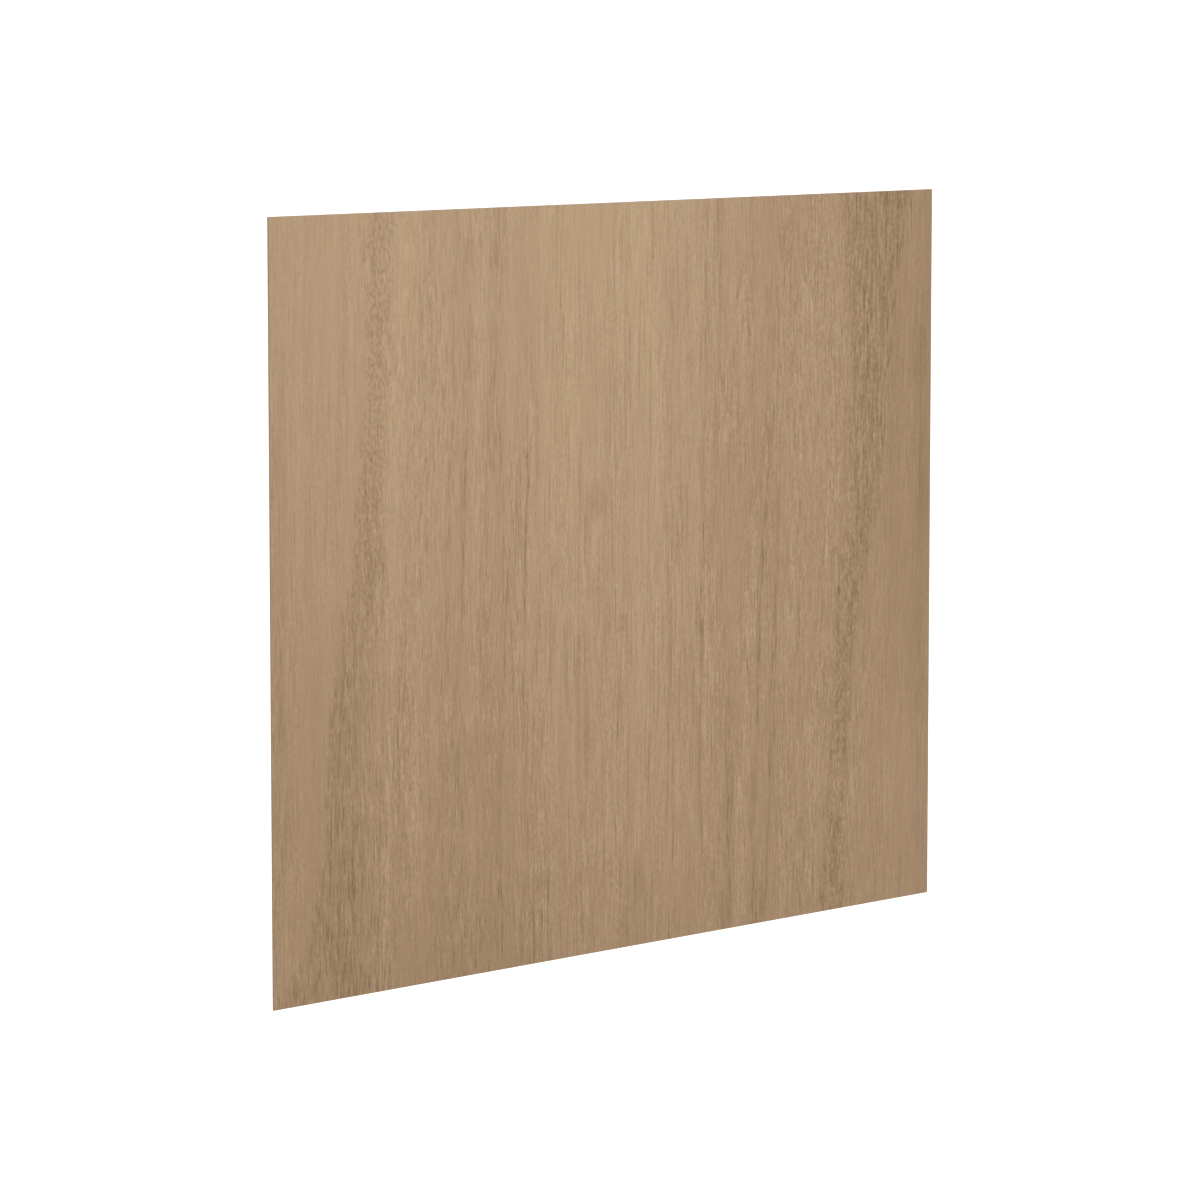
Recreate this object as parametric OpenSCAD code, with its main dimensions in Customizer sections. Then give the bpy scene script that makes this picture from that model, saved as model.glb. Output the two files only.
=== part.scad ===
// Plywood sheet: one flat rectangular panel of thin three-ply board, lying on its back face.
// X runs across the face grain, Y runs along it, and Z is up out of the show face.
// The origin is at the middle of the back face.

/* [Sheet] */
// Width of the sheet, across the face grain
sheet_w = 1525; // [300:5:3050]
// Length of the sheet, along the face grain
sheet_l = 1220; // [300:5:3050]
// Thickness of the sheet
sheet_t = 3; // [1.5:0.1:30]

/* [Edges] */
// Width that sanding takes off each long arris, where an edge meets a face
arris = 0.3; // [0.1:0.05:0.5]
// Width that handling takes off each upright corner of the outline
corner_ease = 1; // [0.2:0.1:5]

/* [Hidden] */

veneer_colour = [0.67, 0.56, 0.45];

// Rectangle about the origin with each corner cut off at 45 degrees
module eased_rectangle(w, h, ease) {
    x = w / 2;
    y = h / 2;
    polygon([
        [ease - x, -y], [x - ease, -y],
        [x, ease - y], [x, y - ease],
        [x - ease, y], [ease - x, y],
        [-x, y - ease], [-x, ease - y]
    ]);
}

// The outline as sawn to size
module plan_prism() {
    linear_extrude(height = sheet_t, center = true)
        eased_rectangle(sheet_w, sheet_l, corner_ease);
}

// The section across the grain, run the length of the sheet
module cross_grain_prism() {
    rotate([90, 0, 0])
        linear_extrude(height = sheet_l, center = true)
            eased_rectangle(sheet_w, sheet_t, arris);
}

// The section along the grain, run the width of the sheet
module long_grain_prism() {
    rotate([90, 0, 90])
        linear_extrude(height = sheet_w, center = true)
            eased_rectangle(sheet_l, sheet_t, arris);
}

// The whole sheet is what the outline and the two sections have in common
module plywood_sheet() {
    color(veneer_colour)
        translate([0, 0, sheet_t / 2])
            intersection() {
                plan_prism();
                cross_grain_prism();
                long_grain_prism();
            }
}

plywood_sheet();
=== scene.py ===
"""Plywood sheet: the looks of one flat sheet of thin three-ply that lies face up on a white floor.

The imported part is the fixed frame, in metres. X runs across the face grain, Y along it, and Z is up out
of the show face. The sheet takes its place and size from that frame, its sawn edges are modelled ply by
ply, and the figure of its veneers is drawn by shader maths.
"""

import math
import random
from typing import NamedTuple

import bmesh
import bpy
from bpy.props import FloatProperty, FloatVectorProperty, IntProperty, PointerProperty
from bpy.types import Operator, Panel, PropertyGroup
from mathutils import Matrix, Vector


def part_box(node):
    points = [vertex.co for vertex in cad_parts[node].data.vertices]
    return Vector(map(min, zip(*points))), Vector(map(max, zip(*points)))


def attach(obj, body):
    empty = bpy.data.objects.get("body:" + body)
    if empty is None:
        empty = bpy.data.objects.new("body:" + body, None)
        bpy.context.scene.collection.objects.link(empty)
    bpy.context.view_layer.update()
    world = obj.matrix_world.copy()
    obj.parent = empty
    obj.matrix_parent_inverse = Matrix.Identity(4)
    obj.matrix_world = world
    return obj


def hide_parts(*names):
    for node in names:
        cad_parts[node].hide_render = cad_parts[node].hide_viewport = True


bl_info = {
    "name": "Plywood sheet",
    "version": (1, 0, 0),
    "blender": (4, 5, 0),
    "location": "View3D > Sidebar > Plywood",
    "description": "Dresses a packed plywood sheet in its veneers and lights it on a white floor",
    "category": "Object",
}

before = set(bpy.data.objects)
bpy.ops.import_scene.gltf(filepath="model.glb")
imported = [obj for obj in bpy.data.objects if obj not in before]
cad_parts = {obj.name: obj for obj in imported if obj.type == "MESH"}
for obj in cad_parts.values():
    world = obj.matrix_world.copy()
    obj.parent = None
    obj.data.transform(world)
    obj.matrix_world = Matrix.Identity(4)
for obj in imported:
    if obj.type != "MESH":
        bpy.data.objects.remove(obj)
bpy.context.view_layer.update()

SHEET_NODE = "plywood_sheet"
SHEET_LOW, SHEET_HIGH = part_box(SHEET_NODE)
SHEET_W, SHEET_L, SHEET_T = SHEET_HIGH - SHEET_LOW
BAKE_MAP = "OFBake"


class Grain(NamedTuple):
    """Noise of the veneer: its cells across and along the fibres in metres, a seed, and finer octaves.

    The noise is 0 on average. Where it is used as a mask, the mask rises from 0 to 1 between two values.
    """

    across: float
    along: float
    seed: float
    detail: float = 0.0
    rise: tuple = ()


class Part(NamedTuple):
    """A stretch of a streak: where it shows, its half width, its tone, and the depth of a thin line."""

    shows_shares: tuple
    half_width_share: float
    lift: float
    line_depth: float = 0.0


class Streak(NamedTuple):
    """A dark or light streak of the figure, along a route of (share of the length, share of the width)."""

    route_shares: tuple
    parts: tuple


class Smudge(NamedTuple):
    """A soft patch of the figure: its middle and half sizes, as shares of the width and length.

    The depth of a smudge darkens the veneer, and the depth of a calm patch is the share of the fine marks
    that it takes away. Below 0 they do the opposite.
    """

    middle_shares: tuple
    half_shares: tuple
    depth: float


# From column to column, the cells of a noise move along the grain by GRAIN_LEAN times their length over
# their width, and by MOST_SHIFT at most, so that no level rows show. Columns of fibres each move on their
# own instead, by up to FIBRE_SHIFT. All three are counted in cells.
GRAIN_LEAN = 0.03
MOST_SHIFT = 0.55
FIBRE_SHIFT = 60.0

SHORT_FIBRES = Grain(0.004, 0.008, 3.1, rise=(-0.25, 0.25))
FIBRES = Grain(0.0043, 0.06, 11.7)
LONG_FIBRES = Grain(0.0045, 0.17, 17.9, rise=(0.08, 0.36))
THREADS = Grain(0.013, 0.7, 19.7, rise=(-0.2, 0.3))
PATCHES = Grain(0.06, 0.3, 37.7, 1.0, rise=(-0.4, 0.4))
BROAD_STREAKS = Grain(0.035, 0.9, 23.3, 1.0)
RAGGED = Grain(0.02, 0.045, 53.9)
DASHES = Grain(0.0043, 0.034, 71.3, rise=(0.2, 0.45))
FLECKS = Grain(0.0042, 0.028, 83.9, rise=(0.26, 0.5))
STREAK_MARKS = Grain(0.0045, 0.036, 89.3, rise=(-0.12, 0.22))
BAND_STREAKS = Grain(0.005, 0.036, 61.7)
BAND_LONG_STREAKS = Grain(0.01, 0.13, 63.1)
CRINKLES = Grain(0.0054, 0.0085, 67.3)
BENDS = Grain(0.014, 0.016, 41.3)
CURLS = Grain(0.016, 0.024, 47.1)
CURL_GAPS = Grain(0.02, 0.03, 97.3, rise=(-0.25, 0.15))
CLUMPS = Grain(0.019, 0.032, 113.9, rise=(-0.1, 0.15))
BACK_FIBRES = Grain(0.0045, 0.02, 103.1)
BACK_LONG_FIBRES = Grain(0.0055, 0.2, 111.7, rise=(0.1, 0.4))
BACK_STREAKS = Grain(0.03, 1.1, 123.3, 1.0)
BACK_RINGS = Grain(0.23, 2.6, 127.9, 1.0, rise=(-0.25, 0.2))
BACK_DASHES = Grain(0.005, 0.03, 171.3, rise=(0.15, 0.45))
END_GRAIN = Grain(0.0007, 0.0005, 203.1, 1.0)
EDGE_FIBRES = Grain(0.0003, 0.03, 217.7, 1.0)

# The figure of the show face. Shares of the length run from the far edge to the near one, and shares of
# the width from left to right. Tones and depths are shares of the whole range of veneer tones.
LEFT_BAND_SHARP_SHARES = (
    (0.0, 0.135), (0.2, 0.131), (0.3, 0.122), (0.44, 0.112), (0.56, 0.088),
    (0.7, 0.074), (0.82, 0.066), (0.93, 0.042), (1.0, 0.0),
)
LEFT_BAND_SOFT_SHARES = ((0.0, 0.172), (0.2, 0.166), (0.3, 0.159), (0.45, 0.155), (0.56, 0.15), (1.0, 0.15))
RIGHT_BAND_SHARP_SHARES = (
    (0.0, 0.968), (0.06, 0.952), (0.19, 0.928), (0.35, 0.921), (0.45, 0.908), (0.56, 0.884),
    (0.7, 0.87), (0.82, 0.863), (1.0, 0.858),
)
RIGHT_BAND_SOFT_SHARES = (
    (0.0, 0.848), (0.2, 0.856), (0.32, 0.857), (0.45, 0.851), (0.6, 0.841), (0.75, 0.834), (0.85, 0.827),
    (1.0, 0.816),
)
DARK_STREAKS = (
    Streak(((0.0, 0.017), (1.0, 0.011)), (Part((0.15, 0.65), 0.005, -0.04),)),
    Streak(((0.0, 0.259), (0.25, 0.253), (1.0, 0.226)), (Part((0.0, 0.62), 0.006, -0.04, 0.05),)),
    Streak(
        ((0.0, 0.28), (0.45, 0.267), (1.0, 0.25)),
        (
            Part((0.0, 0.28), 0.006, -0.045, 0.02),
            Part((0.28, 0.56), 0.005, -0.045, 0.11),
            Part((0.56, 0.88), 0.012, -0.03),
        ),
    ),
    Streak(((0.0, 0.317), (0.35, 0.31), (1.0, 0.301)), (Part((0.0, 0.34), 0.008, -0.065, 0.03),)),
    Streak(
        ((0.0, 0.31), (0.25, 0.319), (0.5, 0.327), (0.8, 0.319), (1.0, 0.323)),
        (Part((0.27, 1.0), 0.007, -0.045, 0.065),),
    ),
    Streak(
        ((0.0, 0.364), (0.25, 0.362), (0.6, 0.354), (0.8, 0.358), (1.0, 0.351)),
        (Part((0.26, 0.5), 0.0035, -0.045, 0.12), Part((0.5, 1.0), 0.0035, -0.04, 0.07)),
    ),
    Streak(((0.0, 0.499), (1.0, 0.492)), (Part((0.57, 0.74), 0.003, -0.025),)),
    Streak(((0.0, 0.585), (1.0, 0.58)), (Part((0.74, 0.9), 0.003, -0.04, 0.06),)),
    Streak(
        ((0.0, 0.634), (0.3, 0.629), (1.0, 0.618)),
        (
            Part((0.0, 0.3), 0.0045, -0.035, 0.08),
            Part((0.3, 0.55), 0.0045, -0.04, 0.12),
            Part((0.55, 0.78), 0.004, -0.06, 0.14),
        ),
    ),
    Streak(
        ((0.0, 0.66), (0.3, 0.661), (0.5, 0.656), (0.7, 0.668), (1.0, 0.67)),
        (Part((0.0, 0.5), 0.008, -0.035), Part((0.5, 1.0), 0.008, -0.05, 0.06)),
    ),
    Streak(
        ((0.0, 0.736), (0.3, 0.733), (0.6, 0.718), (1.0, 0.707)),
        (
            Part((0.12, 0.36), 0.006, -0.035),
            Part((0.42, 0.74), 0.0045, -0.07, 0.13),
            Part((0.78, 1.0), 0.006, -0.05, 0.06),
        ),
    ),
    Streak(
        ((0.0, 0.76), (0.45, 0.748), (0.6, 0.741), (1.0, 0.727)),
        (Part((0.37, 1.0), 0.006, -0.045, 0.07),),
    ),
    Streak(
        ((0.0, 0.987), (1.0, 0.983)),
        (Part((0.3, 0.65), 0.005, -0.03), Part((0.65, 0.95), 0.008, -0.04)),
    ),
)
LIGHT_STREAKS = (
    Streak(
        ((0.0, 0.19), (0.25, 0.177), (0.6, 0.165), (1.0, 0.152)),
        (Part((0.0, 0.5), 0.014, 0.035), Part((0.5, 1.0), 0.006, 0.04, -0.05)),
    ),
    Streak(((0.0, 0.22), (0.5, 0.207), (1.0, 0.19)), (Part((0.48, 0.9), 0.008, 0.035),)),
    Streak(((0.0, 0.3), (0.3, 0.289), (1.0, 0.272)), (Part((0.0, 0.52), 0.006, 0.042),)),
    Streak(
        ((0.0, 0.421), (1.0, 0.43)),
        (Part((0.1, 0.36), 0.01, 0.025), Part((0.36, 0.88), 0.006, 0.03, -0.05)),
    ),
    Streak(((0.0, 0.481), (1.0, 0.477)), (Part((0.75, 1.0), 0.005, 0.03, -0.03),)),
    Streak(
        ((0.0, 0.515), (0.15, 0.545), (0.3, 0.553), (1.0, 0.552)),
        (Part((0.0, 0.31), 0.012, 0.025), Part((0.31, 0.62), 0.006, 0.03, -0.06)),
    ),
    Streak(((0.0, 0.644), (1.0, 0.641)), (Part((0.48, 0.74), 0.005, 0.03),)),
    Streak(((0.0, 0.716), (0.6, 0.701), (1.0, 0.686)), (Part((0.42, 1.0), 0.008, 0.06),)),
    Streak(((0.0, 0.797), (1.0, 0.774)), (Part((0.1, 0.5), 0.009, 0.035),)),
    Streak(
        ((0.0, 0.841), (0.45, 0.827), (0.7, 0.818), (0.85, 0.805), (1.0, 0.803)),
        (Part((0.0, 0.75), 0.008, 0.03, -0.05), Part((0.75, 1.0), 0.011, 0.04)),
    ),
    Streak(((0.0, 0.861), (1.0, 0.82)), (Part((0.12, 0.48), 0.006, 0.03),)),
    Streak(
        ((0.0, 0.925), (1.0, 0.925)),
        (Part((0.5, 0.7), 0.012, 0.02), Part((0.7, 0.9), 0.006, 0.03, -0.03)),
    ),
)
SMUDGES = (
    Smudge((0.464, 0.391), (0.015, 0.028), 0.1),
    Smudge((0.453, 0.714), (0.011, 0.024), 0.05),
    Smudge((0.528, 0.91), (0.01, 0.04), 0.09),
    Smudge((0.466, 0.21), (0.014, 0.06), 0.03),
    Smudge((0.006, 0.4), (0.02, 0.18), 0.02),
    Smudge((0.006, 0.72), (0.02, 0.14), 0.03),
    Smudge((0.135, 0.42), (0.025, 0.1), 0.03),
    Smudge((0.05, 0.68), (0.06, 0.2), 0.012),
    Smudge((0.55, 0.97), (0.1, 0.07), 0.018),
    Smudge((0.5, 0.27), (0.06, 0.06), 0.015),
    Smudge((0.9, 0.78), (0.14, 0.12), -0.014),
    Smudge((1.0, 0.46), (0.12, 0.3), 0.02),
    Smudge((0.7, 0.38), (0.05, 0.15), 0.025),
    Smudge((0.977, 0.23), (0.014, 0.05), 0.05),
    Smudge((0.985, 0.43), (0.012, 0.05), 0.05),
    Smudge((0.024, 0.77), (0.012, 0.05), 0.04),
    Smudge((0.03, 0.98), (0.06, 0.08), -0.03),
    Smudge((1.0, 0.84), (0.1, 0.09), -0.02),
    Smudge((0.385, 0.615), (0.06, 0.06), -0.02),
    Smudge((0.275, 0.73), (0.06, 0.06), 0.02),
    Smudge((0.97, 0.03), (0.08, 0.1), -0.02),
    Smudge((0.845, 0.84), (0.05, 0.07), -0.02),
)
CALM_PATCHES = (
    Smudge((0.362, 0.08), (0.035, 0.08), 0.45),
    Smudge((0.44, 0.04), (0.05, 0.06), 0.4),
    Smudge((0.312, 0.43), (0.02, 0.07), 0.4),
    Smudge((0.465, 0.25), (0.022, 0.06), 0.4),
    Smudge((0.675, 0.42), (0.045, 0.06), 0.3),
    Smudge((0.673, 0.52), (0.02, 0.1), 0.5),
    Smudge((0.72, 0.06), (0.035, 0.09), 0.4),
    Smudge((0.34, 0.22), (0.09, 0.16), 0.25),
    Smudge((0.2, 0.74), (0.08, 0.22), -0.2),
    Smudge((0.42, 0.9), (0.1, 0.14), -0.2),
    Smudge((0.595, 0.16), (0.035, 0.09), 0.35),
    Smudge((0.446, 0.66), (0.014, 0.06), 0.4),
    Smudge((0.66, 0.3), (0.03, 0.06), -0.4),
    Smudge((0.53, 0.56), (0.05, 0.06), -0.25),
    Smudge((0.44, 0.95), (0.07, 0.1), -0.3),
    Smudge((0.14, 0.92), (0.04, 0.14), -0.3),
    Smudge((0.02, 0.8), (0.04, 0.1), -0.4),
)
RING_TONE_SHARES = (
    (0.0, 0.5), (0.2, 0.505), (0.24, 0.49), (0.3, 0.487), (0.34, 0.487), (0.38, 0.505), (0.43, 0.515),
    (0.47, 0.518), (0.52, 0.528), (0.57, 0.52), (0.62, 0.51), (0.65, 0.49), (0.74, 0.483), (0.78, 0.505),
    (0.82, 0.51), (0.87, 0.51), (1.0, 0.5),
)
# Tones at the far and the near edge across the width, and how the tone falls between them along the length.
# This is painted light, lighter at the far edge and darker towards the near edge and the right, mixed with
# the veneer's own slow changes of tone.
FAR_LIT_TONE_SHARES = (
    (0.0, 0.628), (0.2, 0.655), (0.45, 0.658), (0.6, 0.635), (0.75, 0.585), (0.87, 0.515), (1.0, 0.43),
)
NEAR_SHADED_TONE_SHARES = (
    (0.0, 0.44), (0.15, 0.415), (0.3, 0.428), (0.4, 0.45), (0.6, 0.465), (0.8, 0.47), (1.0, 0.475),
)
PAINTED_LIGHT_FALL_SHARES = ((0.0, 0.06), (0.1, 0.11), (0.25, 0.2), (0.5, 0.42), (0.7, 0.6), (0.83, 0.72), (1.0, 1.0))
FIBRE_ZONE_SHARES = (
    (0.0, 0.8), (0.04, 0.5), (0.12, 0.5), (0.15, 0.8), (0.2, 0.72), (0.3, 0.7), (0.35, 0.8), (0.4, 0.72),
    (0.5, 0.72), (0.65, 0.9), (0.78, 0.95), (0.84, 1.0), (0.88, 0.7), (1.0, 0.65),
)
THREAD_ZONE_SHARES = (
    (0.0, 0.35), (0.12, 0.35), (0.18, 0.3), (0.3, 0.4), (0.37, 0.85), (0.45, 0.95), (0.55, 0.95),
    (0.61, 1.0), (0.66, 0.7), (0.75, 0.4), (0.86, 0.25), (0.93, 0.35), (1.0, 0.4),
)
DASH_ZONE_SHARES = (
    (0.0, 0.9), (0.04, 0.3), (0.11, 0.2), (0.14, 0.85), (0.18, 0.85), (0.3, 0.9), (0.36, 0.8), (0.42, 0.45),
    (0.52, 0.4), (0.6, 0.5), (0.65, 0.6), (0.75, 0.9), (0.8, 1.0), (0.85, 1.0), (0.9, 0.6), (0.95, 0.2),
    (1.0, 0.35),
)

# What a quarter round takes off each side of its square corner, at its middle, in radii
ROUND_INSET = 1 - math.sqrt(0.5)


class SheetSizes(PropertyGroup):
    """Sizes of the sheet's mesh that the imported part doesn't give."""

    face_ply: FloatProperty(
        name="Face ply", description="Thickness of each face veneer", default=0.0008, unit="LENGTH"
    )
    arris: FloatProperty(
        name="Arris", description="Radius sanded on every long edge", default=0.0003, unit="LENGTH"
    )
    corner: FloatProperty(
        name="Corner", description="Radius worn on each upright corner", default=0.001, unit="LENGTH"
    )
    glue_line: FloatProperty(
        name="Glue line", description="Depth and half height of a glue line", default=0.00005, unit="LENGTH"
    )
    saw_mark: FloatProperty(
        name="Saw mark", description="Deepest mark that the saw leaves", default=0.00008, unit="LENGTH"
    )
    cell: FloatProperty(
        name="Cell", description="Spacing of the mesh lines on the faces", default=0.01, unit="LENGTH"
    )
    seed: IntProperty(name="Seed", description="Start of the random draws for the saw marks", default=7)


class VeneerLook(PropertyGroup):
    """Colours and finish of the veneers."""

    pore: FloatVectorProperty(
        name="Pore", description="Darkest tone, in open pores", default=(0.46, 0.361, 0.252),
        size=3, subtype="COLOR_GAMMA",
    )
    shade: FloatVectorProperty(
        name="Shade", description="Dark tone of the earlywood bands", default=(0.562, 0.457, 0.3395),
        size=3, subtype="COLOR_GAMMA",
    )
    body: FloatVectorProperty(
        name="Body", description="Middle tone of the veneer", default=(0.665, 0.5513, 0.4347),
        size=3, subtype="COLOR_GAMMA",
    )
    light: FloatVectorProperty(
        name="Light", description="Light tone between the bands", default=(0.763, 0.651, 0.522),
        size=3, subtype="COLOR_GAMMA",
    )
    fleck: FloatVectorProperty(
        name="Fleck", description="Lightest tone, in bright flecks", default=(0.862, 0.75, 0.62),
        size=3, subtype="COLOR_GAMMA",
    )
    roughness: FloatProperty(
        name="Roughness", description="Roughness of the sanded face", default=0.62, subtype="FACTOR"
    )
    gloss: FloatProperty(
        name="Gloss", description="Strength of the reflections", default=0.2, subtype="FACTOR"
    )


class StageLook(PropertyGroup):
    """Floor, lamps and camera."""

    floor: FloatVectorProperty(
        name="Floor", description="Colour of the floor", default=(0.93, 0.93, 0.93),
        size=3, subtype="COLOR_GAMMA",
    )
    floor_side: FloatProperty(
        name="Floor side", description="Side of the square floor", default=80.0, unit="LENGTH"
    )
    sky: FloatProperty(name="Sky", description="Strength of the even light from all round", default=0.44)
    lamp_power: FloatProperty(
        name="Lamp", description="Power of the soft lamp", default=188.5, unit="POWER"
    )
    lamp_size: FloatProperty(
        name="Lamp size", description="Side of the lamp", default=3.0, unit="LENGTH"
    )
    lamp_place: FloatVectorProperty(
        name="Lamp place", description="Where the lamp hangs", default=(-0.3, 0.4, 6.0),
        size=3, subtype="XYZ",
    )
    camera_place: FloatVectorProperty(
        name="Camera place", description="Where the camera stands", default=(-6.236, 0.971, 6.105),
        size=3, subtype="XYZ",
    )
    camera_aim: FloatVectorProperty(
        name="Camera aim", description="Point that the camera looks at", default=(-0.048, -0.032, SHEET_T),
        size=3, subtype="XYZ",
    )
    lens: FloatProperty(name="Lens", description="Focal length in millimetres", default=162.0)


def linear(colour):
    """The scene-linear colour of a display colour."""
    return tuple(c / 12.92 if c <= 0.04045 else ((c + 0.055) / 1.055) ** 2.4 for c in colour)


class Wire:
    """An output socket of a node, with the arithmetic that shader maths is written in."""

    def __init__(self, recipe, socket):
        self.recipe = recipe
        self.socket = socket

    def beside(self, output):
        """Another output of the same node."""
        return Wire(self.recipe, self.socket.node.outputs[output])

    def __neg__(self):
        return self.recipe.math("MULTIPLY", self, -1)

    def __add__(self, other):
        return self.recipe.math("ADD", self, other)

    __radd__ = __add__

    def __sub__(self, other):
        return self.recipe.math("SUBTRACT", self, other)

    def __rsub__(self, other):
        return self.recipe.math("SUBTRACT", other, self)

    def __mul__(self, other):
        return self.recipe.math("MULTIPLY", self, other)

    __rmul__ = __mul__

    def __truediv__(self, other):
        return self.recipe.math("DIVIDE", self, other)


class Recipe:
    """The nodes of one material or of the world, written as expressions."""

    def __init__(self, owner):
        owner.use_nodes = True
        self.tree = owner.node_tree
        self.tree.nodes.clear()

    def node(self, kind, settings=None, inputs=None, output=0):
        """Adds a node of a type, sets it up, gives its sockets values or links, and returns an output."""
        made = self.tree.nodes.new("ShaderNode" + kind)
        for name, value in (settings or {}).items():
            if name == "stops":
                self.set_stops(made.color_ramp, value)
            elif name == "points":
                self.set_points(made.mapping, value)
            else:
                setattr(made, name, value)
        for name, value in (inputs or {}).items():
            if isinstance(value, Wire):
                self.tree.links.new(value.socket, made.inputs[name])
            else:
                made.inputs[name].default_value = value
        return Wire(self, made.outputs[output]) if made.outputs else None

    @staticmethod
    def set_stops(ramp, stops):
        """Gives a colour ramp its stops, each a place and a linear colour."""
        while len(ramp.elements) < len(stops):
            ramp.elements.new(1.0)
        for element, (place, colour) in zip(ramp.elements, stops):
            element.position = place
            element.color = (*colour, 1.0)

    @staticmethod
    def set_points(mapping, points):
        """Gives a float curve its points."""
        curve = mapping.curves[0]
        while len(curve.points) < len(points):
            curve.points.new(0.5, 0.5)
        for spot, place in zip(curve.points, points):
            spot.location = place
            spot.handle_type = "AUTO_CLAMPED"
        mapping.update()

    def math(self, operation, *values):
        """A Math node on values or wires."""
        return self.node("Math", {"operation": operation}, dict(enumerate(values)))

    def curve(self, value, points):
        """A smooth curve through given points, for values from 0 to 1."""
        return self.node("FloatCurve", {"points": points}, {"Value": value})

    def step(self, value, low, high):
        """Rises smoothly from 0 at low to 1 at high."""
        ends = {"Value": value, "From Min": low, "From Max": high}
        return self.node("MapRange", {"interpolation_type": "SMOOTHSTEP"}, ends)

    def span(self, value, start, end, fade):
        """1 from start to end, with a smooth fade at each."""
        return self.step(value, start - fade, start + fade) - self.step(value, end - fade, end + fade)

    def mix(self, share, low, high):
        """Goes from low where a share is 0 to high where it is 1."""
        return low + (high - low) * share

    def place(self, axes):
        """Places on the object along axes such as XY, in metres."""
        split = self.node("SeparateXYZ", inputs={0: self.node("TexCoord", output="Object")})
        return [split.beside(axis) for axis in axes]

    def chance(self, number):
        """A value from 0 to 1 drawn for each whole number."""
        return self.node("TexWhiteNoise", {"noise_dimensions": "1D"}, {"W": number}, "Value")

    def noise(self, column, row, detail):
        """Flat noise about 0, at a place counted in cells."""
        spot = self.node("CombineXYZ", inputs={"X": column, "Y": row})
        settings = {"noise_dimensions": "2D", "normalize": False}
        return self.node("TexNoise", settings, {"Vector": spot, "Scale": 1.0, "Detail": detail})

    def grain(self, x, y, cells):
        """Noise in cells that lean a little and so don't end in level rows."""
        column = x / cells.across + cells.seed
        shift = min(GRAIN_LEAN * cells.along / cells.across, MOST_SHIFT)
        return self.noise(column, y / cells.along - shift * column, cells.detail)

    def fibre(self, x, y, cells):
        """Noise in straight columns along the grain that are each shifted on their own."""
        column = x / cells.across + cells.seed
        shift = self.chance(self.math("FLOOR", column))
        return self.noise(column, y / cells.along + FIBRE_SHIFT * shift, cells.detail)

    def grain_mask(self, x, y, cells):
        """1 where the noise of a grain is high."""
        return self.step(self.grain(x, y, cells), *cells.rise)

    def fibre_mask(self, x, y, cells):
        """1 where the noise of a grain's fibres is high."""
        return self.step(self.fibre(x, y, cells), *cells.rise)

    def ridge(self, value, width):
        """1 where a noise is 0, which draws thin winding lines, and 0 from a width away."""
        return 1 - self.step(self.math("ABSOLUTE", value), 0.0, width)


def ink(recipe, look, tone):
    """The veneer's colour at a tone from 0, an open pore, to 1, a bright fleck."""
    colours = (look.pore, look.shade, look.body, look.light, look.fleck)
    stops = [(i / (len(colours) - 1), linear(c)) for i, c in enumerate(colours)]
    return recipe.node("ValToRGB", {"stops": stops}, {"Fac": tone})


BUMP_STRENGTH = 0.25
BUMP_HEIGHT = 0.0004


def finish_wood(r, look, tone, roughness, relief=None):
    """Ends a wood's recipe in a surface of a tone and a roughness, with a fine relief if there is one."""
    inputs = {"Base Color": ink(r, look, tone), "Roughness": roughness, "Specular IOR Level": look.gloss}
    if relief is not None:
        bump = {"Strength": BUMP_STRENGTH, "Distance": BUMP_HEIGHT, "Height": relief}
        inputs["Normal"] = r.node("Bump", inputs=bump)
    r.node("OutputMaterial", inputs={"Surface": r.node("BsdfPrincipled", inputs=inputs)})


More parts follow.
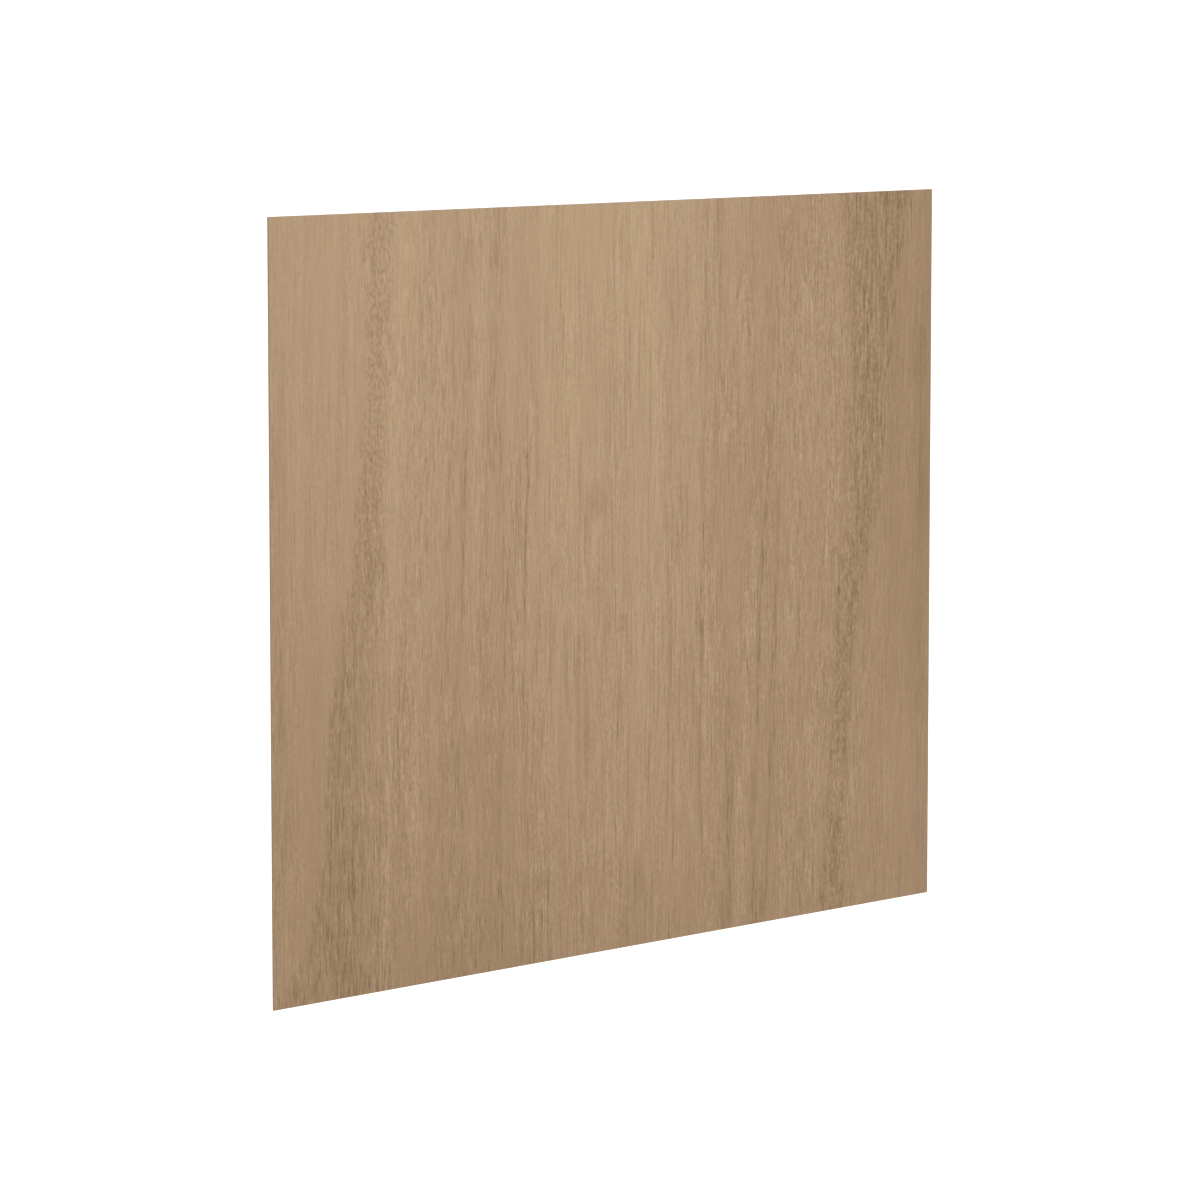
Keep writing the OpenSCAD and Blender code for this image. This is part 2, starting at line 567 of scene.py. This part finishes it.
class ShowFigure:
    """The figure of the show face, added up as tones from 0, an open pore, to 1, a bright fleck.

    Names that end in DEPTH are tones taken away. A pair of strengths is for where its mask is 0 and 1.
    """

    # Slow changes of tone
    RING_MIDDLE = 0.5
    BROAD_TONE = 0.03

    # Fibres, and threads with dark hairs
    FIBRE_TONE = 0.1
    THREAD_TONE = 0.02
    LONG_FIBRE_TONE = 0.035
    HAIR_DEPTH = 0.105
    HAIR_STRENGTHS = (0.7, 1.3)
    PATCHY_FIBRES = (0.86, 1.29)

    # Pore dashes and bright flecks
    FLECK_TONE = 0.065
    DASH_DEPTH = 0.085
    PATCHY_DASHES = (0.65, 1.3)

    # How far noise moves an edge or a ring sideways
    RAGGED_SHARE = 0.003
    CURLED_SHARE = 0.008
    STREAKED_SHARES = (0.018, 0.005)

    # The dark bands: where along the sheet they change, and how their sharp and soft edges fade
    LEFT_CHANGE_SHARES = (0.4, 0.65)
    LEFT_SHARP_FADE_SHARES = (-0.003, 0.005)
    LEFT_SOFT_FADE_SHARES = (0.018, 0.048)
    LEFT_SOFT_END_SHARE = 0.01
    RIGHT_CHANGE_SHARES = (0.38, 0.55)
    RIGHT_EDGE_CHANGE_SHARES = (0.42, 0.56)
    RIGHT_SHARP_FADE_SHARES = (-0.006, 0.003)
    RIGHT_SOFT_FADE_SHARES = (0.02, 0.008)
    RIGHT_SOFT_START = 0.7

    # Tones in the bands
    LEFT_DEPTH = 0.055
    RIGHT_DEPTH = 0.08
    CURL_TONE = 0.12
    CURLY_CRINKLE_TONE = 0.12
    CLUMP_TONES = (0.027, -0.058)
    LONG_STREAK_STRENGTH = 0.45
    RIGHT_STREAK_TONE = 0.17
    RIGHT_CRINKLE_TONE = 0.115
    LEFT_STREAK_TONE = 0.12
    LEFT_CRINKLE_TONE = 0.06
    LEFT_STREAKY_DEPTH = 0.025
    BAND_FLECK_TONE = 0.08
    BAND_DASH_DEPTH = 0.1

    # Curls: how far they bend in metres, their width in noise, and their light side
    CURL_BEND = (0.005, -0.004)
    CURL_WIDTH = 0.26
    CURL_LIGHT_OFFSET = 0.003
    CURL_LIGHT = 0.5

    # Streaks are drawn as dashes that lie in slanting rows, and each row is a little out of line
    DASH_ROWS = 17
    DASH_ROW_SLANT = 90
    DASH_OUT_SHARE = 0.0032
    DASH_RAGGED_SHARE = 0.0008
    LINE_SHARE = 0.0026
    GLINT = 0.35
    GLINT_OFFSET_SHARE = 0.006
    GLINT_SHARE = 0.004
    STREAK_END_SHARE = 0.03

    # Strengths of the streaks along their dashes, and of the dots in the dark ones
    DARK_STRENGTHS = (0.35, 1.3)
    LIGHT_STRENGTHS = (0.45, 1.3)
    LIGHT_RISE = (-0.12, 0.35)
    STREAK_MARK_STRENGTH = 0.35
    DOT_STRENGTHS = (0.5, 1.5)

    SMUDGE_REACH = 1.5

    # Relief and roughness
    FIBRE_RELIEF = 0.5
    DASH_RELIEF = 0.6
    FIBRE_ROUGHNESS = 0.05
    DASH_ROUGHNESS = 0.06

    def __init__(self, recipe):
        self.r = r = recipe
        self.x, self.y = x, y = r.place("XY")
        self.u = (x - SHEET_LOW.x) / SHEET_W
        self.v = (SHEET_HIGH.y - y) / SHEET_L
        ragged = r.grain(x, y, RAGGED)
        self.ragged_u = self.u + self.RAGGED_SHARE * ragged
        self.short = r.fibre(x, y, SHORT_FIBRES)
        self.bends = r.grain(x, y, BENDS)
        self.band_streaks = r.grain(x, y, BAND_STREAKS)
        self.patches = r.grain_mask(x, y, PATCHES)
        self.dashes = r.fibre_mask(x, y, DASHES)
        self.flecks = r.fibre_mask(x, y, FLECKS)
        self.dash_zone = r.curve(self.u, DASH_ZONE_SHARES)
        row = r.math("FLOOR", self.DASH_ROWS * self.v + self.DASH_ROW_SLANT * self.u)
        self.dash_v = (row + 0.5 - self.DASH_ROW_SLANT * self.u) / self.DASH_ROWS
        out = self.DASH_OUT_SHARE * (r.chance(row) - 0.5)
        self.dash_u = self.u + out + self.DASH_RAGGED_SHARE * ragged

    def broad_and_painted_light(self):
        """Tones that change slowly: painted light that falls off from the lit far edge to the shaded near
        one and towards the right, mixed with the veneer's own tone, and tones from ring to ring.
        """
        r = self.r
        far, near = r.curve(self.u, FAR_LIT_TONE_SHARES), r.curve(self.u, NEAR_SHADED_TONE_SHARES)
        # Painted light: lighter at the far edge, darker towards the near edge.
        painted_light_fall = r.mix(r.curve(self.v, PAINTED_LIGHT_FALL_SHARES), far, near)
        rings = r.curve(self.ragged_u, RING_TONE_SHARES) - self.RING_MIDDLE
        return painted_light_fall + rings + self.BROAD_TONE * r.grain(self.x, self.y, BROAD_STREAKS)

    def fibres(self):
        """Short fibres, and threads that run on and show most in the middle of the sheet."""
        r, x, y = self.r, self.x, self.y
        fibres = self.FIBRE_TONE * self.short + self.FIBRE_TONE * r.fibre(x, y, FIBRES)
        long = r.fibre(x, y, LONG_FIBRES)
        hairs = r.step(long, *LONG_FIBRES.rise) * r.mix(r.grain_mask(x, y, THREADS), *self.HAIR_STRENGTHS)
        threads = self.THREAD_TONE + self.LONG_FIBRE_TONE * long - self.HAIR_DEPTH * hairs
        fibres = fibres * r.curve(self.u, FIBRE_ZONE_SHARES)
        threads = threads * r.curve(self.u, THREAD_ZONE_SHARES)
        return (fibres + threads) * r.mix(self.patches, *self.PATCHY_FIBRES)

    def pores(self):
        """Dark pore dashes and bright flecks."""
        marks = self.FLECK_TONE * self.flecks - self.DASH_DEPTH * self.dashes
        return self.dash_zone * marks * self.r.mix(self.patches, *self.PATCHY_DASHES)

    def left_band(self):
        """1 in the left dark band, which is sharp on its left and soft on its right."""
        r, v = self.r, self.v
        u = self.ragged_u + self.CURLED_SHARE * self.bends
        band = r.step(u - r.curve(v, LEFT_BAND_SHARP_SHARES), *self.LEFT_SHARP_FADE_SHARES)
        fade = r.mix(r.step(v, *self.LEFT_CHANGE_SHARES), *self.LEFT_SOFT_FADE_SHARES)
        return band * (1 - r.step(u - r.curve(v, LEFT_BAND_SOFT_SHARES), -fade, self.LEFT_SOFT_END_SHARE))

    def right_band(self):
        """1 in the right dark band, which is soft on its left and sharp on its right."""
        r, v = self.r, self.v
        near = r.step(v, *self.RIGHT_EDGE_CHANGE_SHARES)
        u = self.ragged_u + r.mix(near, *self.STREAKED_SHARES) * self.band_streaks
        band = 1 - r.step(u - r.curve(v, RIGHT_BAND_SHARP_SHARES), *self.RIGHT_SHARP_FADE_SHARES)
        fade = r.mix(near, *self.RIGHT_SOFT_FADE_SHARES)
        start = -self.RIGHT_SOFT_START * fade
        return band * r.step(u - r.curve(v, RIGHT_BAND_SOFT_SHARES), start, fade)

    def curls(self):
        """Thin dark curls with a light side."""
        r = self.r
        x = self.x + self.CURL_BEND[0] * self.bends
        y = self.y + self.CURL_BEND[1] * self.bends
        dark = r.ridge(r.grain(x, y, CURLS), self.CURL_WIDTH)
        light = r.ridge(r.grain(x + self.CURL_LIGHT_OFFSET, y, CURLS), self.CURL_WIDTH)
        return r.grain_mask(self.x, self.y, CURL_GAPS) * (self.CURL_LIGHT * light - dark)

    def bands(self):
        """The two dark bands: streaked in part and curly in part."""
        r, x, y = self.r, self.x, self.y
        left, right = self.left_band(), self.right_band()
        left_streaky = left * r.step(self.v, *self.LEFT_CHANGE_SHARES)
        right_curly = right * r.step(self.v, *self.RIGHT_CHANGE_SHARES)
        curly = left - left_streaky + right_curly
        crinkles = r.grain(x, y, CRINKLES)
        streaks = self.band_streaks + self.LONG_STREAK_STRENGTH * r.grain(x, y, BAND_LONG_STREAKS)
        curly_tone = self.CURL_TONE * self.curls() + self.CURLY_CRINKLE_TONE * crinkles
        clump_tone = r.mix(r.grain_mask(x, y, CLUMPS), *self.CLUMP_TONES)
        right_tone = self.RIGHT_STREAK_TONE * streaks + self.RIGHT_CRINKLE_TONE * crinkles
        dabs = self.BAND_FLECK_TONE * self.flecks - self.BAND_DASH_DEPTH * self.dashes
        left_tone = self.LEFT_STREAK_TONE * streaks + self.LEFT_CRINKLE_TONE * crinkles + dabs
        tone = curly * curly_tone + right_curly * clump_tone + (right - right_curly) * right_tone
        tone = tone + left_streaky * (left_tone - self.LEFT_STREAKY_DEPTH)
        return tone - self.LEFT_DEPTH * left - self.RIGHT_DEPTH * right

    def streak(self, streak):
        """A streak along its route, with a thin line and a glint beside it where its parts ask for one."""
        r = self.r
        off = self.dash_u - r.curve(self.dash_v, streak.route_shares)
        line = r.ridge(off, self.LINE_SHARE)
        line = line - self.GLINT * r.ridge(off - self.GLINT_OFFSET_SHARE, self.GLINT_SHARE)
        total = 0
        for part in streak.parts:
            tone = part.lift * r.ridge(off, 2 * part.half_width_share)
            if part.line_depth:
                tone = tone - part.line_depth * line
            total = total + tone * r.span(self.v, *part.shows_shares, self.STREAK_END_SHARE)
        return total

    def streaks(self):
        """The dark and the light streaks, broken up by marks along the grain."""
        r = self.r
        marks = r.fibre(self.x, self.y, STREAK_MARKS)
        dark = r.mix(r.step(marks, *STREAK_MARKS.rise), *self.DARK_STRENGTHS)
        dark = dark + self.STREAK_MARK_STRENGTH * self.dashes
        dark = dark * r.mix(r.step(self.short, *SHORT_FIBRES.rise), *self.DOT_STRENGTHS)
        light = r.mix(r.step(-marks, *self.LIGHT_RISE), *self.LIGHT_STRENGTHS)
        light = light + self.STREAK_MARK_STRENGTH * self.flecks
        dark_streaks = sum(self.streak(streak) for streak in DARK_STREAKS)
        light_streaks = sum(self.streak(streak) for streak in LIGHT_STREAKS)
        return dark * dark_streaks + light * light_streaks

    def smudge(self, smudge):
        """The depth of a smudge or a calm patch, which fades from its middle."""
        across = (self.ragged_u - smudge.middle_shares[0]) / smudge.half_shares[0]
        along = (self.v - smudge.middle_shares[1]) / smudge.half_shares[1]
        return smudge.depth * (1 - self.r.step(across * across + along * along, 0.0, self.SMUDGE_REACH))

    def tone(self):
        """The whole figure, with the painted light fall-off from the far edge to the near one."""
        calm = sum(self.smudge(patch) for patch in CALM_PATCHES)
        smudges = sum(self.smudge(smudge) for smudge in SMUDGES)
        fine = (self.fibres() + self.pores()) * (1 - calm)
        return self.broad_and_painted_light() + fine + self.bands() + self.streaks() - smudges

    def relief(self):
        """Heights of the sanded face: fibres stand up a little and pores are open."""
        return self.FIBRE_RELIEF * self.short - self.DASH_RELIEF * self.dashes * self.dash_zone

    def roughness(self):
        """What fibres and pores add to the roughness."""
        return self.FIBRE_ROUGHNESS * self.short + self.DASH_ROUGHNESS * self.dashes


def show_veneer(look):
    """The figured face: two dark bands, growth streaks, pore dashes and fibres."""
    material = bpy.data.materials.new("show_veneer")
    r = Recipe(material)
    figure = ShowFigure(r)
    finish_wood(r, look, figure.tone(), look.roughness + figure.roughness(), figure.relief())
    return material


BACK_TONE = 0.53
BACK_FIBRE_TONE = 0.07
BACK_LONG_FIBRE_TONE = 0.05
BACK_STREAK_TONE = 0.08
BACK_RING_DEPTH = 0.06
BACK_HAIR_DEPTH = 0.07
BACK_DASH_DEPTH = 0.06
BACK_RELIEF = 0.6
BACK_DASH_ROUGHNESS = 0.06


def back_veneer(look):
    """The plain back face: long fibres and a few pores."""
    material = bpy.data.materials.new("back_veneer")
    r = Recipe(material)
    x, y = r.place("XY")
    fine = r.fibre(x, y, BACK_FIBRES)
    long = r.fibre(x, y, BACK_LONG_FIBRES)
    rings = r.grain(x, y, BACK_RINGS)
    hairs = r.step(long, *BACK_LONG_FIBRES.rise)
    dashes = r.fibre_mask(x, y, BACK_DASHES) * r.step(rings, *BACK_RINGS.rise)
    tone = BACK_TONE + BACK_FIBRE_TONE * fine + BACK_LONG_FIBRE_TONE * long
    tone = tone + BACK_STREAK_TONE * r.grain(x, y, BACK_STREAKS) - BACK_RING_DEPTH * rings
    tone = tone - BACK_HAIR_DEPTH * hairs - BACK_DASH_DEPTH * dashes
    relief = BACK_RELIEF * fine - BACK_RELIEF * dashes
    finish_wood(r, look, tone, look.roughness + BACK_DASH_ROUGHNESS * dashes, relief)
    return material


# Pale tone of the sawn edges, lifted further as painted light to make up for the shade that the upright
# edges get.
EDGE_LIFTED_TONE = 0.7
END_GRAIN_TONE = 0.1
END_GRAIN_DEPTH = 0.06
EDGE_FIBRE_TONE = 0.1
GLUE_DEPTH = 0.2
EDGE_ROUGHNESSES = (0.75, 0.83)


def ply_edge(name, look, sizes, run_axis, core_is_end_grain):
    """A sawn edge: two face plies and a core, with thin dark glue lines between them."""
    material = bpy.data.materials.new(name)
    r = Recipe(material)
    run, z = r.place((run_axis, "Z"))
    line = sizes.glue_line
    low_glue = SHEET_LOW.z + sizes.face_ply
    high_glue = SHEET_HIGH.z - sizes.face_ply
    core = r.step(z, low_glue, low_glue + line) * (1 - r.step(z, high_glue - line, high_glue))
    to_glue = r.math("MINIMUM", r.math("ABSOLUTE", z - low_glue), r.math("ABSOLUTE", z - high_glue))
    glue = 1 - r.step(to_glue, line, 2 * line)
    end_share = core if core_is_end_grain else 1 - core
    end_grain = END_GRAIN_TONE * r.grain(run, z, END_GRAIN) - END_GRAIN_DEPTH
    long_grain = EDGE_FIBRE_TONE * r.grain(z, run, EDGE_FIBRES)
    tone = EDGE_LIFTED_TONE + end_share * end_grain + (1 - end_share) * long_grain - GLUE_DEPTH * glue
    finish_wood(r, look, tone, r.mix(end_share, *EDGE_ROUGHNESSES))
    return material


def mesh_lines(low, high, margins, cell):
    """Places of the mesh lines between two edges: close together at the ends, then evenly spaced."""
    first, last = low + margins[-1], high - margins[-1]
    count = max(1, round((last - first) / cell))
    middle = [first + (last - first) * i / count for i in range(count + 1)]
    return [low + m for m in margins[:-1]] + middle + [high - m for m in reversed(margins[:-1])]


def edge_profile(sizes):
    """The section of a sawn edge from top to bottom: (inset, height) points between the two faces."""
    ease = sizes.arris * ROUND_INSET
    low_glue, high_glue = sizes.face_ply, SHEET_T - sizes.face_ply
    groove = sizes.glue_line
    profile = [(ease, SHEET_T - ease), (0.0, SHEET_T - sizes.arris)]
    for height in (high_glue, low_glue):
        profile += [(0.0, height + 2 * groove), (groove, height), (0.0, height - 2 * groove)]
    profile += [(0.0, sizes.arris), (ease, ease)]
    return profile


class SheetMesh:
    """Builds the sheet: a grid on each face, joined by rings of points down the sawn edges."""

    SIDES = ("near", "right", "far", "left")
    SLOTS = {"top": 0, "bottom": 1, "left": 2, "right": 2, "near": 3, "far": 3}

    # Width of the finely divided rim of a face, in corner radii
    FINE_RIM = 4

    # Starts and heights on the bake's map, and how much of an edge's height there is used
    MAP_MARGIN_SHARE = 0.004
    MAP_TOP_SHARES = (0.46, 0.53)
    MAP_BOTTOM_SHARES = (0.1, 0.35)
    MAP_EDGE_SHARES = (0.006, 0.022)
    MAP_USED_SHARE = 0.7

    def __init__(self, sizes):
        self.sizes = sizes
        self.random = random.Random(sizes.seed)
        self.bm = bmesh.new()
        self.map = self.bm.loops.layers.uv.new(BAKE_MAP)
        margins = (sizes.arris, sizes.corner, self.FINE_RIM * sizes.corner)
        self.xs = mesh_lines(SHEET_LOW.x, SHEET_HIGH.x, margins, sizes.cell)
        self.ys = mesh_lines(SHEET_LOW.y, SHEET_HIGH.y, margins, sizes.cell)

    def corner_pull(self, i, j):
        """How far a corner's points move in, to round the corner."""
        is_corner = i in (0, len(self.xs) - 1) and j in (0, len(self.ys) - 1)
        return self.sizes.corner * ROUND_INSET if is_corner else 0.0

    def grid(self, z, part):
        """One face as a grid of points, facing up or down."""
        points = []
        for j, y in enumerate(self.ys):
            row = []
            for i, x in enumerate(self.xs):
                pull = self.corner_pull(i, j)
                row.append(self.bm.verts.new((x - math.copysign(pull, x), y - math.copysign(pull, y), z)))
            points.append(row)
        for j in range(len(self.ys) - 1):
            for i in range(len(self.xs) - 1):
                corners = [points[j][i], points[j][i + 1], points[j + 1][i + 1], points[j + 1][i]]
                self.face(corners if part == "top" else corners[::-1], part)
        return points

    def rim(self):
        """Grid places round the rim, anticlockwise from above, each with its side and outward way."""
        last_i, last_j = len(self.xs) - 1, len(self.ys) - 1
        walk = [(i, 0, "near") for i in range(last_i)]
        walk += [(last_i, j, "right") for j in range(last_j)]
        walk += [(i, last_j, "far") for i in range(last_i, 0, -1)]
        walk += [(0, j, "left") for j in range(last_j, 0, -1)]
        rim = []
        for i, j, side in walk:
            out = ((i == last_i) - (i == 0), (j == last_j) - (j == 0))
            rim.append((i, j, side, out))
        return rim

    def face(self, corners, part):
        """Adds a face with its part's material and its place on the bake's map."""
        made = self.bm.faces.new(corners)
        made.material_index = self.SLOTS[part]
        for loop in made.loops:
            loop[self.map].uv = self.map_place(loop.vert.co, part)

    def map_place(self, co, part):
        """Where a point lies on the bake's map: the show face above, the back below, edges at the foot."""
        across = (co.x - SHEET_LOW.x) / SHEET_W
        along = (co.y - SHEET_LOW.y) / SHEET_L
        up = (co.z - SHEET_LOW.z) / SHEET_T
        run = along if part in ("left", "right") else across
        map_u = self.MAP_MARGIN_SHARE + (1 - 2 * self.MAP_MARGIN_SHARE) * run
        if part in ("top", "bottom"):
            start, height = self.MAP_TOP_SHARES if part == "top" else self.MAP_BOTTOM_SHARES
            return map_u, start + height * along
        start, height = self.MAP_EDGE_SHARES
        return map_u, start + height * (self.SIDES.index(part) + self.MAP_USED_SHARE * up)

    def edges(self, top, bottom):
        """The four sawn edges, ring by ring from the show face down to the back."""
        rim = self.rim()
        rings = [[top[j][i] for i, j, side, out in rim]]
        for inset, height in edge_profile(self.sizes):
            rings.append([self.edge_point(*spot, inset, height) for spot in rim])
        rings.append([bottom[j][i] for i, j, side, out in rim])
        for upper, lower in zip(rings, rings[1:]):
            for k, spot in enumerate(rim):
                after = (k + 1) % len(rim)
                self.face([upper[k], lower[k], lower[after], upper[after]], spot[2])

    def edge_point(self, i, j, side, out, inset, height):
        """A point of a sawn edge, let in a little by the saw."""
        mark = self.sizes.saw_mark * self.random.random()
        reach = self.sizes.arris - inset - mark
        pull = self.corner_pull(i, j)
        x = self.xs[i] + out[0] * (reach - pull)
        y = self.ys[j] + out[1] * (reach - pull)
        return self.bm.verts.new((x, y, SHEET_LOW.z + height))

    def build(self, name):
        """The finished mesh."""
        top = self.grid(SHEET_HIGH.z, "top")
        bottom = self.grid(SHEET_LOW.z, "bottom")
        self.edges(top, bottom)
        mesh = bpy.data.meshes.new(name)
        self.bm.to_mesh(mesh)
        self.bm.free()
        return mesh


def add_object(name, data):
    """Puts an object of some data in the scene."""
    made = bpy.data.objects.new(name, data)
    bpy.context.scene.collection.objects.link(made)
    return made


class PLYWOOD_OT_make_sheet(Operator):
    """Build the sheet with its sawn edges and dress it in its veneers"""

    bl_idname = "plywood.make_sheet"
    bl_label = "Make sheet"

    def execute(self, context):
        sizes = context.scene.plywood_sheet
        look = context.scene.plywood_veneer
        mesh = SheetMesh(sizes).build("sheet_board")
        mesh.materials.append(show_veneer(look))
        mesh.materials.append(back_veneer(look))
        mesh.materials.append(ply_edge("edge_along_grain", look, sizes, "Y", True))
        mesh.materials.append(ply_edge("edge_across_grain", look, sizes, "X", False))
        sheet = add_object("sheet_board", mesh)
        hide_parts(SHEET_NODE)
        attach(sheet, "root")
        return {"FINISHED"}


def seen_directly(r):
    """1 for rays from the camera, a reflection or a clear surface, and 0 for light that bounces."""
    camera = r.node("LightPath", output="Is Camera Ray")
    others = r.math("MAXIMUM", camera.beside("Is Glossy Ray"), camera.beside("Is Transmission Ray"))
    return r.math("MAXIMUM", camera, others)


FLOOR_GLOW = 0.65


def white_floor(stage):
    """Pale and matt, and lifted to white where the camera sees it, except in shadow."""
    material = bpy.data.materials.new("white_floor")
    r = Recipe(material)
    matt = r.node("BsdfDiffuse", inputs={"Color": (*linear(stage.floor), 1.0)})
    glow = r.node("Emission", inputs={"Strength": FLOOR_GLOW * seen_directly(r)})
    r.node("OutputMaterial", inputs={"Surface": r.node("AddShader", inputs={0: matt, 1: glow})})
    return material


def even_sky(stage):
    """A world that lights evenly, and is white where the camera sees it."""
    world = bpy.data.worlds.new("even_sky")
    r = Recipe(world)
    strength = stage.sky + (1 - stage.sky) * seen_directly(r)
    sky = r.node("Background", inputs={"Color": (1.0, 1.0, 1.0, 1.0), "Strength": strength})
    r.node("OutputWorld", inputs={"Surface": sky})
    return world


class PLYWOOD_OT_set_stage(Operator):
    """Lay the white floor, hang the soft lamp and set the camera"""

    bl_idname = "plywood.set_stage"
    bl_label = "Set stage"

    FLOOR_GAP = 0.0003
    CAMERA_REACH = 200.0

    def execute(self, context):
        stage = context.scene.plywood_stage
        context.scene.view_settings.view_transform = "Standard"
        context.scene.world = even_sky(stage)
        self.lay_floor(stage)
        self.hang_lamp(stage)
        context.scene.camera = self.set_camera(stage)
        return {"FINISHED"}

    def lay_floor(self, stage):
        """A square floor just under the sheet."""
        mesh = bpy.data.meshes.new("floor")
        bm = bmesh.new()
        half = stage.floor_side / 2
        height = SHEET_LOW.z - self.FLOOR_GAP
        corners = ((-half, -half), (half, -half), (half, half), (-half, half))
        bm.faces.new([bm.verts.new((x, y, height)) for x, y in corners])
        bm.to_mesh(mesh)
        bm.free()
        mesh.materials.append(white_floor(stage))
        add_object("floor", mesh)

    def hang_lamp(self, stage):
        """A soft square lamp overhead, out of the camera's sight."""
        lamp = bpy.data.lights.new("soft_lamp", "AREA")
        lamp.shape = "SQUARE"
        lamp.size = stage.lamp_size
        lamp.energy = stage.lamp_power
        hung = add_object("soft_lamp", lamp)
        hung.location = stage.lamp_place
        hung.visible_camera = False

    def set_camera(self, stage):
        """The camera, with the sheet's length upright in its view."""
        camera = bpy.data.cameras.new("camera")
        camera.lens = stage.lens
        camera.clip_end = self.CAMERA_REACH
        place, aim = Vector(stage.camera_place), Vector(stage.camera_aim)
        back = (place - aim).normalized()
        side = Vector((0, 1, 0)).cross(back).normalized()
        turn = Matrix((side, back.cross(side), back)).transposed().to_4x4()
        stood = add_object("camera", camera)
        stood.matrix_world = Matrix.Translation(place) @ turn
        return stood


class PLYWOOD_PT_panel(Panel):
    """The sheet's sizes and looks, and the buttons that make it"""

    bl_idname = "PLYWOOD_PT_panel"
    bl_label = "Plywood sheet"
    bl_space_type = "VIEW_3D"
    bl_region_type = "UI"
    bl_category = "Plywood"

    def draw(self, context):
        layout = self.layout
        for group_name in GROUPS:
            group = getattr(context.scene, group_name)
            box = layout.box()
            for name in group.bl_rna.properties.keys():
                if name not in ("rna_type", "name"):
                    box.prop(group, name)
        layout.operator(PLYWOOD_OT_make_sheet.bl_idname)
        layout.operator(PLYWOOD_OT_set_stage.bl_idname)


GROUPS = {"plywood_sheet": SheetSizes, "plywood_veneer": VeneerLook, "plywood_stage": StageLook}
CLASSES = (*GROUPS.values(), PLYWOOD_OT_make_sheet, PLYWOOD_OT_set_stage, PLYWOOD_PT_panel)


def register():
    for cls in CLASSES:
        bpy.utils.register_class(cls)
    for name, group in GROUPS.items():
        setattr(bpy.types.Scene, name, PointerProperty(type=group))


def unregister():
    for name in GROUPS:
        delattr(bpy.types.Scene, name)
    for cls in reversed(CLASSES):
        bpy.utils.unregister_class(cls)


def main():
    register()
    bpy.ops.plywood.make_sheet()
    bpy.ops.plywood.set_stage()


if __name__ == "__main__":
    main()
